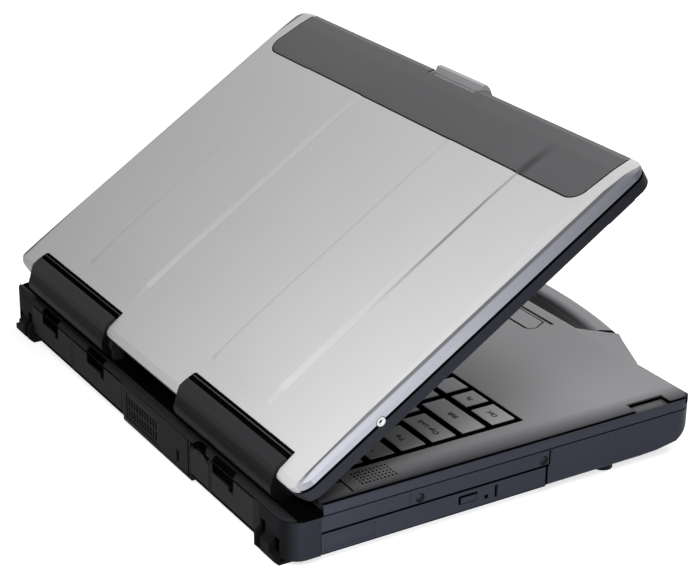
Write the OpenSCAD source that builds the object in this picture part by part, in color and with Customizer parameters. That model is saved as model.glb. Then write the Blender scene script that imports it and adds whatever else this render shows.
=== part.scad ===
// Rugged notebook computer with a built-in front carry handle.
// The lid is drawn closed and then turned about the hinge axis to the angle lid_open.
// Frame: +X to the user's right, +Y to the hinge side, +Z up; z = 0 is the surface that it stands on.

/* [Base] */
// Width of the base
base_w = 340; // [338:1:360]
// Depth of the base without the handle
base_d = 260; // [258:1:280]
// Height of the lower case, from its underside to the parting line
part_z = 21.6; // [20.5:0.1:24]
// Height of the palm rest above the underside of the case
deck_z = 28.6; // [27.6:0.1:32]
// Corner radius of the base seen from above
base_r = 11; // [8:0.5:14]
// Wall of the lower case
wall = 2.2; // [1.8:0.1:2.6]
// Thickness of the deck
deck_t = 2.4; // [2:0.1:2.6]
// Height of the feet below the case
foot_h = 4.5; // [3:0.5:7]
// How far the rear feet stand proud of the rear wall
foot_proud = 3; // [2:0.5:4]

/* [Handle] */
// How far the handle stands out in front of the base
handle_reach = 29; // [27:1:34]
// Thickness of the grip from front to back
grip_t = 13; // [10:0.5:14]
// Height of the top of the grip
grip_top = 26; // [22:0.5:27]
// Height of the underside of the grip
grip_bottom = 8; // [6:0.5:12]
// Half width of the finger opening
opening_half = 60; // [50:1:62]

/* [Lid] */
// Angle of the lid at rest, from closed
lid_open = 32.8; // [0:0.1:125]
// Length of the lid from hinge edge to free edge
lid_l = 245; // [240:1:246]
// How much wider the lid is than the base, in all
lid_extra_w = 0.8; // [0:0.2:2]
// Height of the parting plane of the closed lid above the hinge axis
lid_above_axis = 5; // [4.8:0.1:5.4]
// Depth of the dark frame under the parting plane of the lid
bezel_t = 7.4; // [6:0.1:7.6]
// Thickness of the lid's outer skin
skin_t = 1.6; // [1.2:0.1:2]
// Length of the dark band along the free edge
band_l = 39; // [30:1:46]
// Distance of the dark band from each side of the lid
band_side = 13.4; // [10:0.2:20]
// Thickness of the dark band
band_t = 1.2; // [1:0.1:1.4]
// Width of the frame on each side of the screen
screen_side = 18.4; // [14:0.2:24]
// Height of the picture on the screen
screen_h = 190; // [180:1:200]

/* [Hinge] */
// Distance of the hinge axis in front of the rear wall
axis_in = 10.1; // [9.8:0.1:10.6]
// Height of the hinge axis above the palm rest
axis_above_deck = 3.4; // [3.2:0.1:4]
// Radius of the covered hinge barrel
barrel_r = 8.2; // [7.6:0.1:8.3]
// Radius of the hinge pin
pin_r = 2.5; // [2:0.1:3]
// Running clearance of a pin in its bore
run_gap = 0.05; // [0.02:0.01:0.1]
// Inner end of each hinge cover, from the middle
cover_in = 45; // [40:1:50]
// How far each hinge cover stops short of the side of the lid
cover_side = 21.4; // [19:0.2:28]

/* [Keyboard] */
// Width of the deck on each side of the keyboard opening
key_side = 23.55; // [23.4:0.05:26]
// Gap between key caps
key_gap = 2.4; // [2:0.1:3]
// Height of a key top above the palm rest
key_proud = 0.3; // [0:0.1:0.5]
// Travel of a key
key_travel = 2; // [1.5:0.1:2]
// Front edge of the keyboard opening, from the middle of the base
well_front = -29.5; // [-34:0.5:-26]
// Clear gap between parts that pass each other
gap = 0.3; // [0.2:0.05:0.4]

/* [Touchpad] */
// Width of the touchpad
pad_w = 74; // [60:1:90]
// Depth of the touchpad
pad_d = 42; // [36:1:46]
// Width of each touchpad button
button_w = 53; // [40:1:60]
// Depth of each touchpad button
button_d = 13; // [10:1:15]
// Gap round the touchpad buttons
button_gap = 0.8; // [0.3:0.1:1]

/* [Drive and ports] */
// Height of the optical drive front
drive_h = 12.3; // [12:0.1:12.6]
// Width of the optical drive front
drive_w = 139; // [134:1:142]
// Thickness of a port cover
cover_t = 3; // [2.4:0.1:3.4]
// Height of a port cover
cover_h = 19.4; // [18:0.1:19.8]
// Travel of a port cover latch
latch_travel = 5; // [3:0.5:6]

/* [Hidden] */
$fn = 48;
e = 0.01;
origin_y = (handle_reach - foot_proud) / 2;
half_w = base_w / 2;
half_d = base_d / 2;
axis_y = half_d - axis_in;
axis_z = deck_z + axis_above_deck;
lid_w = base_w + lid_extra_w;
lid_z = axis_z + lid_above_axis;
lid_rear = axis_y + 0.7;
lid_front = lid_rear - lid_l;
band_half = lid_w / 2 - band_side;
screen_w = lid_w - 2 * screen_side;
cover_out = lid_w / 2 - cover_side;
trench_y = axis_y - barrel_r - 0.8;
trench_z = axis_z - barrel_r - 0.6;
rim_z = deck_z - 0.7;
rail_r = 2.8;
well_half = half_w - key_side;
pitch = (well_half - 1.7) / 7.5;
row_pitch = pitch - 0.1;
fn_row_d = 15;
well_rear = well_front + 5 * row_pitch + fn_row_d + 2.4;
well_z = 22.4;
plate_t = 2;
key_top = deck_z + key_proud;
key_bottom = well_z + key_travel + 0.6;
stem = 5;
tray_gap = 0.4;
cover_z = 2;
cover_pin_r = 1;
cover_pin_z = cover_z + 1.6;
cover_pin_y = half_d - cover_t / 2;
button_y = -half_d + 21;
pad_y = button_y + button_d / 2 + 15.5 + pad_d / 2;
floor_z = wall;
drive_rear = half_d - 19;
drive_front = drive_rear - drive_w;
// Length of a corner guard along the rear wall
guard_l = 29;
// The row of openings is set out for a wall of 2 x 141 mm between the guards and follows its length.
rear = (half_w - guard_l) / 141;
// Port covers: name, middle and width
ports = [["left", -113 * rear, 46 * rear], ["middle", 48.75 * rear, 65.5 * rear],
  ["right", 111.6 * rear, 56.2 * rear]];
port_latch_x = [-103 * rear, 50.5 * rear, 114 * rear];
vent_x = -9.5 * rear;
vent_w = 39 * rear;
vent_h = 15.6;
lock_x = -52.5 * rear;
inlet_x = -77.5 * rear;
inlet_w = 21 * rear;
inlet_arch_z = part_z - 7.2;
fan_x = vent_x;
fan_y = half_d - 30;
fan_r = 19;
fan_pin_r = 1.5;
board_z = 9;
board_t = 1.6;
board_x = fan_x + fan_r + 8.5;
board_l = half_w - 32 - board_x;
board_y = half_d - 134;
board_rear = half_d - 12;
cpu_x = board_x + 40;
cpu_y = half_d - 46;
memory_x = board_x + 10;
memory_y = board_y + 28;
memory_w = 67.6;
memory_d = 30;
memory_pitch = 3.4;
hatch_margin = 5;
disk_x = -half_w + 20;
disk_l = 100;
disk_rear = drive_front - 5;
disk_front = -half_d + 27;
disk_d = disk_rear - disk_front;
disk_z = 4;
disk_h = 9.5;

key_rows = [
  [1.25, 1, 1, 1.25, 5.5, 1, 1, 1, 1, 1],
  [2.25, 1, 1, 1, 1, 1, 1, 1, 1, 1, 1, 1.75, 1],
  [1.75, 1, 1, 1, 1, 1, 1, 1, 1, 1, 1, 1, 2.25],
  [1.5, 1, 1, 1, 1, 1, 1, 1, 1, 1, 1, 1, 1, 1.5],
  [1, 1, 1, 1, 1, 1, 1, 1, 1, 1, 1, 1, 1, 2],
  [for (i = [0:15]) 15 / 16]
];
// Keys that stand in nodes of their own: name, row and place in the row
own_keys = [["key_control", 0, 0], ["key_function", 0, 1], ["key_menu", 0, 2], ["space_bar", 0, 4],
  ["key_shift", 1, 0], ["key_caps_lock", 2, 0], ["key_tab", 3, 0]];
port_latch_w = 22;
latch_low = 15;
latch_high = 19.6;
cover_pin_l = 0.8;
strip_front = drive_front - 1.4;
strip_rear = drive_rear - 52.2;
strip_z = drive_h + 0.7;
strip_t = 1.4;
strip_screw_y = [strip_front + 3.8, strip_rear - 6];
battery_front = -half_d + 36;
battery_w = board_y - 6 - battery_front;
battery_y = battery_front + battery_w / 2;
battery_h = 17.6;
battery_l = 74;
catch_y = battery_y + 10;
catch_w = 20;
switch_y = half_d - 106;
speaker_x = -half_w + 4.5;
speaker_w = 16;
speaker_y = 59;
speaker_d = 26;
bay_in = fan_x - fan_r - 11.5 + half_w;
disc_r = (bay_in - 9.2) / 2;
disc_x = -half_w + 5.6 + disc_r;
disc_y = drive_front + (drive_w - 2) / 2;
eject_y = drive_front + 50.6;
eject_w = 12;
lid_screw_y = lid_rear - 54.7;
lid_screw_z = lid_z + 0.6;
lcd_z = lid_z - bezel_t + 1.6;
lcd_t = 3.8;
screen_y = lid_rear - lid_l / 2 - 2;
knuckle_w = 4;
knuckle_x = cover_in - 1 - knuckle_w;
tab_half = 23;
latch_pivot_y = lid_front + 2.2;
latch_pivot_z = lid_z - 1;
stabiliser_y = -101;
stabiliser_l = 19;
pocket_l = 25;

// ---------- places and shapes used by several pieces ----------

// The case frame: the middle of the base's underside, lifted on to its feet.
module in_case() translate([0, origin_y, foot_h]) children();

// The closed lid turned open about the hinge axis.
module in_lid() in_case()
  translate([0, axis_y, axis_z]) rotate([-lid_open, 0, 0]) translate([0, -axis_y, -axis_z]) children();

// A box from its lowest to its highest corner.
module block(low, high) translate(low) cube(high - low);

// A rectangle with round corners, centred.
module round_rect(w, d, r) {
  square([w - 2 * r, d], center = true);
  square([w, d - 2 * r], center = true);
  for (x = [-1, 1], y = [-1, 1])
    translate([x * (w / 2 - r), y * (d / 2 - r)]) circle(r);
}

// A cylinder along X, given by its two ends and its place in Y and Z.
module rod_x(x0, x1, y, z, r) translate([x0, y, z]) rotate([0, 90, 0]) cylinder(r = r, h = x1 - x0);

// A profile drawn in Y and Z, extruded along X.
module along_x(x0, x1) translate([x0, 0, 0]) rotate([90, 0, 90]) linear_extrude(x1 - x0) children();

// A profile drawn in X and Z, extruded along Y.
module along_y(y0, y1) translate([0, y1, 0]) rotate([90, 0, 0]) linear_extrude(y1 - y0) children();

// Both sides of the notebook.
module both_sides() {
  children();
  mirror([1, 0, 0]) children();
}

// The outline of the handle's shoulder on the left, seen from above.
module shoulder_outline(inset = 0) polygon([
  [-opening_half - 4, -half_d + 4], [-opening_half - 4, -half_d],
  [-opening_half - 18 - inset, -half_d - 0.72 * handle_reach + inset],
  [-opening_half - 27 - inset, -half_d - 0.55 * handle_reach + inset],
  [-opening_half - 60 + inset, -half_d], [-opening_half - 60 + inset, -half_d + 4]]);

// ---------- base ----------

// Solid form of the lower case before it is hollowed.
module lower_form() intersection() {
  linear_extrude(part_z) round_rect(base_w, base_d, base_r);
  along_x(-half_w, half_w) polygon([
    [-half_d + 6, 8], [-half_d + 12, 3.6], [-half_d + 36, 0], [half_d - 1.5, 0], [half_d, 1.5],
    [half_d, part_z], [-half_d, part_z], [-half_d, 14]]);
  along_y(-half_d, half_d) polygon([
    [-half_w + 1.5, 0], [half_w - 1.5, 0], [half_w, 1.5], [half_w, part_z], [-half_w, part_z],
    [-half_w, 1.5]]);
}

// The opening behind a port cover, with its seat and the holes of its hinge pins.
module port_opening(x, w) {
  block([x - w / 2, half_d - cover_t, cover_z], [x + w / 2, half_d + e, cover_z + cover_h]);
  block([x - w / 2 + 3, half_d - cover_t - 4, cover_z + 3.4],
        [x + w / 2 - 3, half_d, cover_z + cover_h - 1.4]);
  rod_x(x - w / 2 - cover_pin_l - 0.1, x + w / 2 + cover_pin_l + 0.1, cover_pin_y, cover_pin_z,
        cover_pin_r + run_gap);
}

// A boss that stands on the floor of the case.
module boss(x, y, top, r = 3) translate([x, y, floor_z - e]) cylinder(r = r, h = top - floor_z + e);

module bottom_case() in_case() color("#3a3a40") difference() {
  union() {
    difference() {
      union() {
        lower_form();
        both_sides() translate([0, 0, 6]) linear_extrude(part_z - 6) shoulder_outline();
      }
      intersection() {
        translate([0, 6, floor_z]) linear_extrude(part_z)
          round_rect(base_w - 2 * wall, base_d - 12 - 2 * (cover_t + 1.2), base_r - wall);
        along_x(-half_w, half_w) polygon([
          [-half_d + 36, floor_z], [half_d, floor_z], [half_d, part_z + 1], [-half_d + 10, part_z + 1],
          [-half_d + 10, floor_z + 4.4]]);
      }
    }
    // rails that carry the hard drive
    for (x = [disk_x, disk_x + disk_l - 4])
      block([x, disk_rear - disk_d + 12, floor_z - e], [x + 4, disk_rear, disk_z]);
    // thicker rear wall round the rear openings
    block([-half_w + 12, half_d - cover_t - 3.4, floor_z - e], [half_w - 12, half_d - cover_t, part_z]);
    for (x = [board_x + 4, board_x + board_l - 4], y = [board_y + 6, board_rear - 10]) boss(x, y, board_z);
    // walls and roof of the bay of the optical drive
    block([-half_w + wall - e, drive_front - 2, floor_z - e],
          [-half_w + bay_in + 2, drive_rear + 2, drive_h + 1.4]);
    // walls of the battery bay
    block([half_w - battery_l - 4, battery_y - battery_w / 2 - 2, floor_z - e],
          [half_w - battery_l - 2, battery_y + battery_w / 2 + 2, battery_h + floor_z]);
    for (y = [battery_y - battery_w / 2 - 2, battery_y + battery_w / 2 + gap])
      block([half_w - battery_l - 4, y, floor_z - e], [half_w - wall + e, y + 1.7, battery_h + floor_z]);
  }
  // optical drive bay, open to the left and below
  block([-half_w - e, drive_front, -e], [-half_w + bay_in, drive_rear, drive_h + 0.4]);
  // seat of the side strip cover and the card slot behind it
  block([-half_w - e, strip_front, strip_z], [-half_w + strip_t, strip_rear, part_z + e]);
  block([-half_w + 1, strip_front + 9, strip_z + 1.6], [-half_w + wall + e, strip_rear - 12, part_z - 2]);
  // battery opening on the right
  block([half_w - wall - 2, battery_y - battery_w / 2 - gap, floor_z],
        [half_w + e, battery_y + battery_w / 2 + gap, floor_z + battery_h + gap]);
  for (p = ports) port_opening(p[1], p[2]);
  // power inlet, vent and lock slot in the rear wall
  port_opening(inlet_x, inlet_w);
  block([inlet_x - inlet_w / 2, half_d - cover_t, part_z - 3],
        [inlet_x + inlet_w / 2, half_d + e, part_z + e]);
  block([vent_x - vent_w / 2, half_d - cover_t, 2], [vent_x + vent_w / 2, half_d + e, 2 + vent_h]);
  block([vent_x - vent_w / 2 + 1.5, half_d - 8, 3.5], [vent_x + vent_w / 2 - 1.5, half_d, 0.5 + vent_h]);
  block([lock_x - 1.5, half_d - 8, 3.5], [lock_x + 1.5, half_d + e, 10.5]);
  // memory hatch and air intake in the floor
  block([memory_x - hatch_margin - gap, memory_y - hatch_margin - gap, -e],
        [memory_x + memory_w + hatch_margin + gap, memory_y + memory_d + hatch_margin + gap, 1.2]);
  block([memory_x, memory_y, -e], [memory_x + memory_w, memory_y + memory_d, floor_z + e]);
  for (i = [-4:4]) block([fan_x + i * 4 - 1, fan_y - 12, -e], [fan_x + i * 4 + 1, fan_y + 12, floor_z + e]);
  // seats of the floor screws
  for (p = screw_places()) translate([p[0], p[1], -e]) cylinder(r = 3, h = 1.2 + e);
  // room for the corner guards and the power switch
  both_sides() guard_room();
  block([half_w - 1.8, switch_y, 8], [half_w + e, switch_y + catch_w, 14]);
}

function screw_places() = [[-20, -half_d + 42], [60, -half_d + 42], [-20, -half_d + 90],
  [-20, half_d - 66], [60, half_d - 18], [half_w - 20, half_d - 70], [half_w - 20, half_d - 132]];

// The rear corner of the lower case that the guard takes the place of.
module guard_room() block([-half_w - e, half_d - 19, -e], [-half_w + guard_l + e, half_d + e, part_z]);

// A groove round the base, except behind the handle's shoulders.
module side_groove(low, high, depth) difference() {
  translate([0, 0, low]) linear_extrude(high - low) difference() {
    square([base_w + 2, base_d + 2], center = true);
    round_rect(base_w - 2 * depth, base_d - 2 * depth, base_r - depth);
  }
  block([-opening_half - 61, -half_d - 2, low - 1], [opening_half + 61, -half_d + 5, high + 1]);
}

// Solid form of the top cover before it is hollowed.
module upper_form() intersection() {
  translate([0, 0, part_z]) linear_extrude(deck_z) round_rect(base_w, base_d, base_r);
  along_x(-half_w, half_w) union() {
    difference() {
      union() {
        translate([-half_d + 4, part_z]) square([trench_y + half_d - 5, deck_z - part_z]);
        translate([-half_d, part_z]) square([trench_y + half_d, deck_z - part_z - 4]);
        translate([-half_d + 4, deck_z - 4]) circle(4);
        translate([trench_y - 1, deck_z - 1]) circle(1);
      }
      translate([-half_d - 5, part_z - 10]) square([base_d, 10]);
    }
    translate([trench_y - 1, part_z]) square([half_d - trench_y + 1 - rail_r, trench_z - part_z]);
    intersection() {
      translate([half_d - rail_r, part_z]) circle(rail_r);
      translate([half_d - 3 * rail_r, part_z]) square([3 * rail_r, rail_r]);
    }
  }
  // rim on each side, and the palm rest crowned up from it
  along_y(-half_d, half_d) polygon([
    [-half_w, part_z], [-half_w, rim_z - 0.5], [-half_w + 0.5, rim_z], [-half_w + 1.5, rim_z],
    [-half_w + 9, deck_z], [half_w - 9, deck_z],
    [half_w - 1.5, rim_z], [half_w - 0.5, rim_z], [half_w, rim_z - 0.5], [half_w, part_z]]);
}

// Seam between the rim and the palm rest, along the sides and round the front corners.
module rim_seam() difference() {
  translate([0, 0, rim_z - 1]) linear_extrude(5) difference() {
    round_rect(base_w - 1.4, base_d - 1.4, base_r - 0.7);
    round_rect(base_w - 3, base_d - 3, base_r - 1.5);
  }
  block([-half_w, trench_y - 3, 0], [half_w, half_d, deck_z + 5]);
  block([-opening_half - 61, -half_d, 0], [opening_half + 61, -half_d + 5, deck_z + 5]);
}

// Rows of slots above a speaker, on the left.
module speaker_slots() for (i = [0:9], j = [0:4])
  translate([speaker_x + 3.5 + j * 2.7, speaker_y + 2 + i * 2.25, deck_z - deck_t - 1]) cube([1.8, 1.3, 5]);

// Top of the handle's shoulders, which falls away to the front.
module shoulder_top() intersection() {
  translate([0, 0, part_z]) linear_extrude(deck_z - part_z) shoulder_outline(0.6);
  along_x(-half_w, half_w) polygon([[-half_d + 4, part_z], [-half_d + 4, deck_z - 0.8],
    [-half_d - 0.72 * handle_reach, part_z + 3], [-half_d - 0.72 * handle_reach, part_z]]);
}

// Outline of the left touchpad button, which ends in a point.
module button_outline(grow = 0) polygon([
  [-button_w - 0.7 - grow, button_y + 2], [-button_w + 4 - grow, button_y - button_d / 2 - grow],
  [-gap + grow, button_y - button_d / 2 - grow], [-gap + grow, button_y + button_d / 2 + grow],
  [-button_w + 1 - grow, button_y + button_d / 2 + grow]]);

module top_cover() in_case() color("#8a8a8c") difference() {
  union() {
    difference() {
      upper_form();
      difference() {
        translate([0, 0, part_z - e]) linear_extrude(deck_z - deck_t - part_z + e)
          round_rect(base_w - 2 * wall - 3, base_d - 2 * wall - 3, base_r - 4);
        block([-half_w, trench_y - 1.6, 0], [half_w, half_d, deck_z]);
      }
      block([-half_w + 16, trench_y + 1.6, part_z - e], [half_w - 16, half_d - 3.4, trench_z - 1]);
    }
    both_sides() shoulder_top();
    // wall round the keyboard opening
    block([-well_half - 1.6, well_front - 1.6, well_z],
          [well_half + 1.6, well_rear + 1.6, deck_z - deck_t + e]);
    // rim under the touchpad and its buttons
    block([-pad_w / 2 - 2.5, pad_y - pad_d / 2 - 2.5, deck_z - 4.6],
          [pad_w / 2 + 2.5, pad_y + pad_d / 2 + 2.5, deck_z - deck_t + e]);
    block([-button_w - 3, button_y - button_d / 2 - 3, deck_z - 6],
          [button_w + 3, button_y + button_d / 2 + 3, deck_z - deck_t + e]);
    both_sides() block([-half_w + wall, stabiliser_y - pocket_l / 2 - 1.6, deck_z - 4.6],
                       [-half_w + 14, stabiliser_y + pocket_l / 2 + 1.6, deck_z - deck_t + e]);
  }
  // keyboard opening
  block([-well_half, well_front, part_z - e], [well_half, well_rear, deck_z + e]);
  // touchpad seat and window
  block([-pad_w / 2, pad_y - pad_d / 2, deck_z - 2.2], [pad_w / 2, pad_y + pad_d / 2, deck_z + e]);
  block([-pad_w / 2 + 4, pad_y - pad_d / 2 + 4, deck_z - 5], [pad_w / 2 - 4, pad_y + pad_d / 2 - 4, deck_z]);
  // well of the touchpad buttons
  both_sides() translate([0, 0, deck_z - 4]) linear_extrude(5) button_outline(button_gap);
  both_sides() speaker_slots();
  // pockets that the stabilisers of the lid drop into
  both_sides() block([-half_w + 1.2, stabiliser_y - pocket_l / 2, deck_z - 3],
                     [-half_w + 10.4, stabiliser_y + pocket_l / 2, deck_z + e]);
  // catch of the lid latch
  block([-11, -half_d - 1, deck_z - 4.4], [11, -half_d + 6.6, deck_z + e]);
  rim_seam();
  // parting line of the two halves
  side_groove(part_z - e, part_z + 0.5, 0.6);
  // line in front of the touchpad buttons
  block([-button_w - 2, button_y - button_d / 2 - 2.5, deck_z - 0.6],
        [button_w + 2, button_y - button_d / 2 - 1.9, deck_z + e]);
  // arched top of the power inlet cover
  translate([inlet_x, 0, 0]) along_y(half_d - cover_t - 1, half_d + e)
    translate([0, inlet_arch_z]) circle(inlet_w / 2 + gap);
}

module carry_handle() in_case() color("#7d7d80") union() {
  bend = 340;
  outer = -half_d - handle_reach;
  grip_h = grip_top - grip_bottom;
  intersection() {
    translate([0, outer + bend, 0]) rotate([0, 0, -90 - 16])
      rotate_extrude(angle = 32, $fn = 240) translate([bend - grip_t, grip_bottom]) {
        translate([4, 0]) square([grip_t - 8, grip_h]);
        translate([0, 4]) square([grip_t, grip_h - 8]);
        for (x = [4, grip_t - 4], z = [4, grip_h - 4]) translate([x, z]) circle(4);
      }
    // cut off square to the shoulders
    linear_extrude(40) polygon([
      [-opening_half - 4, -half_d], [-opening_half - 18, -half_d - 0.72 * handle_reach],
      [-opening_half - 25, outer], [opening_half + 25, outer],
      [opening_half + 18, -half_d - 0.72 * handle_reach], [opening_half + 4, -half_d]]);
  }
  both_sides() translate([0, 0, grip_bottom]) linear_extrude(grip_h - 3) polygon([
    [-opening_half, -half_d], [-opening_half - 4, -half_d],
    [-opening_half - 18, -half_d - 0.72 * handle_reach],
    [-opening_half - 2, -half_d - handle_reach + grip_t + 3]]);
}

// Rear corner guard with its foot and the opening for a strap.
module corner_guard() in_case() color("#26262a") difference() {
  union() {
    intersection() {
      linear_extrude(part_z) round_rect(base_w, base_d, base_r);
      block([-half_w, half_d - 19 + gap / 2, 0], [-half_w + guard_l, half_d, part_z]);
    }
    // foot, standing proud to the rear and below
    along_x(-half_w + 9, -half_w + guard_l) polygon([
      [half_d - 18, e], [half_d - 14, -foot_h], [half_d, -foot_h], [half_d + foot_proud, -foot_h + 3],
      [half_d + foot_proud, 6], [half_d, 9], [half_d - 3, 9], [half_d - 3, e]]);
  }
  // two slots in the rear face that meet behind a bar, for a strap
  block([-half_w + 22.5, half_d - 12, -2.6], [-half_w + 27.5, half_d + foot_proud + 1, 14]);
  block([-half_w + 9, half_d - 12, 1.8], [-half_w + 14, half_d + foot_proud + 1, 10.5]);
  block([-half_w + 9, half_d - 12, 1.8], [-half_w + 27.5, half_d - 6, 10.5]);
}

module corner_guard_left() corner_guard();
module corner_guard_right() mirror([1, 0, 0]) corner_guard();

module rubber_feet() in_case() color("#1c1c1e")
  both_sides() translate([-half_w + 10, -half_d + 56, -foot_h]) cylinder(r = 6, h = foot_h);

// ---------- keyboard and touchpad ----------

function sum_to(list, n) = n == 0 ? 0 : list[n - 1] + sum_to(list, n - 1);
function key_w(row, i) = key_rows[row][i] * pitch - key_gap;
function key_x(row, i) = (sum_to(key_rows[row], i) + key_rows[row][i] / 2 - 7.5) * pitch;
function row_d(row) = (row == 5 ? fn_row_d : row_pitch) - key_gap;
function row_y(row) = well_front + 1.2 + (row == 5 ? 5 * row_pitch + fn_row_d / 2 : (row + 0.5) * row_pitch);
function is_own(row, i) = len([for (k = own_keys) if (k[1] == row && k[2] == i) 1]) > 0;

// One key cap with the stem that guides it.
module key_cap(row, i) translate([key_x(row, i), row_y(row), 0]) {
  w = key_w(row, i) / 2;
  d = row_d(row) / 2;
  intersection() {
    along_y(-d, d) polygon([[-w, key_bottom], [w, key_bottom], [w - 1.2, key_top], [-w + 1.2, key_top]]);
    along_x(-w, w) polygon([[-d, key_bottom], [d, key_bottom], [d - 1.4, key_top], [-d + 1, key_top]]);
  }
  block([-stem / 2, -stem / 2, well_z - 1.2], [stem / 2, stem / 2, key_bottom + e]);
}

module own_key(k) in_case() color("#77777a") key_cap(k[1], k[2]);

module key_caps() in_case() color("#77777a")
  for (row = [0:5], i = [0:len(key_rows[row]) - 1]) if (!is_own(row, i)) key_cap(row, i);

module keyboard_plate() in_case() color("#202022") difference() {
  block([-well_half - 1.6, well_front - 1.6, well_z - plate_t], [well_half + 1.6, well_rear + 1.6, well_z]);
  for (row = [0:5], i = [0:len(key_rows[row]) - 1]) translate([key_x(row, i), row_y(row), well_z])
    cube([stem + 2 * gap, stem + 2 * gap, 3 * plate_t], center = true);
}

module touchpad() in_case() color("#6c6c70")
  block([-pad_w / 2 + gap, pad_y - pad_d / 2 + gap, deck_z - 2.2],
        [pad_w / 2 - gap, pad_y + pad_d / 2 - gap, deck_z - 0.6]);

module touchpad_button_left() in_case() color("#77777a") {
  translate([0, 0, deck_z - 1.6]) linear_extrude(1.6) button_outline();
  block([-button_w / 2 - 4, button_y - 3, deck_z - 2.8], [-button_w / 2 + 4, button_y + 3, deck_z - 1.6 + e]);
}
module touchpad_button_right() mirror([1, 0, 0]) touchpad_button_left();

// ---------- inside the base ----------

module speaker() in_case() color("#2c2c30") difference() {
  block([speaker_x, speaker_y, 16], [speaker_x + speaker_w, speaker_y + speaker_d, deck_z - deck_t]);
  translate([speaker_x + speaker_w / 2, speaker_y + speaker_d / 2, deck_z - deck_t - 3])
    cylinder(r = 7, h = 5);
}
module speaker_left() speaker();
module speaker_right() mirror([1, 0, 0]) speaker();

module motherboard() in_case() color("#1d6b43") {
  top = board_z + board_t;
  block([board_x, board_y, board_z], [board_x + board_l, board_rear, top]);
  // processor
  block([cpu_x - 18, cpu_y - 18, top - e], [cpu_x + 18, cpu_y + 18, top + 2]);
  // sockets behind the port covers: share of the board's length, width and height
  for (s = [[1 / 15, 16, 7], [1 / 3, 16, 7.4], [3 / 5, 22, 8], [5 / 6, 16, 6.4]])
    block([board_x + s[0] * board_l, board_rear - 6, top - e],
          [board_x + s[0] * board_l + s[1], half_d - cover_t - 4, top + s[2]]);
}

module memory_modules() in_case() color("#2f7d4f") for (i = [0, 1])
  block([memory_x, memory_y, board_z - memory_pitch * (i + 1) + gap],
        [memory_x + memory_w, memory_y + memory_d, board_z - memory_pitch * i]);

// Blower: air comes in through the floor and leaves through the rear grille.
module fan_housing() in_case() color("#2b2b2e") {
  top = floor_z + 12.8;
  difference() {
    block([fan_x - fan_r - 3, fan_y - fan_r - 3, floor_z], [fan_x + fan_r + 3, fan_y + fan_r + 3, top]);
    translate([fan_x, fan_y, floor_z + 1.2]) cylinder(r = fan_r + 1, h = 10.4);
    translate([fan_x, fan_y, floor_z - e]) cylinder(r = 12, h = 3);
    block([fan_x - 15, fan_y, floor_z + 1.2], [fan_x + 15, fan_y + fan_r + 4, top - 1.2]);
  }
  translate([fan_x, fan_y, floor_z + 4]) cylinder(r = fan_pin_r, h = top - floor_z - 5);
}

module fan_rotor() in_case() color("#3a3a3e") translate([fan_x, fan_y, floor_z + 2]) difference() {
  union() {
    cylinder(r = 9, h = 9.2);
    for (a = [0:24:359]) rotate([0, 0, a]) block([8, -0.5, 0.2], [fan_r - 0.6, 0.5, 8]);
  }
  translate([0, 0, 1.2]) cylinder(r = fan_pin_r + run_gap, h = 10);
}

// Copper plate on the processor and the heat pipe that leads to the blower.
module heat_sink() in_case() color("#b87333") {
  bottom = board_z + board_t + 2;
  pipe_z = floor_z + 12.8 + 1.7;
  block([cpu_x - 16, cpu_y - 16, bottom], [cpu_x + 16, cpu_y + 16, bottom + 3.4]);
  rod_x(fan_x - 18, cpu_x, half_d - 22, pipe_z, 1.6);
  block([cpu_x - 14, cpu_y + 12, bottom + 0.4], [cpu_x - 4, half_d - 20.5, bottom + 3.6]);
}

module hard_drive() in_case() color("#9a9ca0") difference() {
  block([disk_x, disk_rear - disk_d, disk_z], [disk_x + disk_l, disk_rear, disk_z + disk_h]);
  translate([disk_x + disk_l / 2, disk_rear - disk_d / 2, disk_z + disk_h - 0.5]) cylinder(r = 28, h = 1);
}

module battery_pack() in_case() color("#2a2a2e") difference() {
  block([half_w - battery_l, battery_y - battery_w / 2, floor_z],
        [half_w, battery_y + battery_w / 2, floor_z + battery_h]);
  block([half_w - 2, catch_y, 8], [half_w + e, catch_y + catch_w, 14]);
}

// A ribbed slider in a recess of the right side, given by the recess's front end.
module side_slider(y, depth) {
  block([half_w - depth + 0.1, y + gap, 8 + gap], [half_w - 0.9, y + catch_w - 6, 14 - gap]);
  for (i = [0:3]) block([half_w - 1, y + 2 + i * 3, 9], [half_w - 0.2, y + 3.4 + i * 3, 13]);
}
module battery_latch() in_case() color("#55565a") side_slider(catch_y, 2);
module power_switch() in_case() color("#77787c") side_slider(switch_y, 1.8);

// ---------- optical drive ----------

module optical_drive() in_case() color("#8f9094") difference() {
  block([-half_w + 4.4, drive_front + gap, 0.6], [-half_w + bay_in - gap, drive_rear - gap, drive_h + 0.4]);
  block([-half_w + 4, drive_front + 4, 2], [-half_w + bay_in - 4, drive_rear - 6, drive_h - 1]);
}

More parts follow.
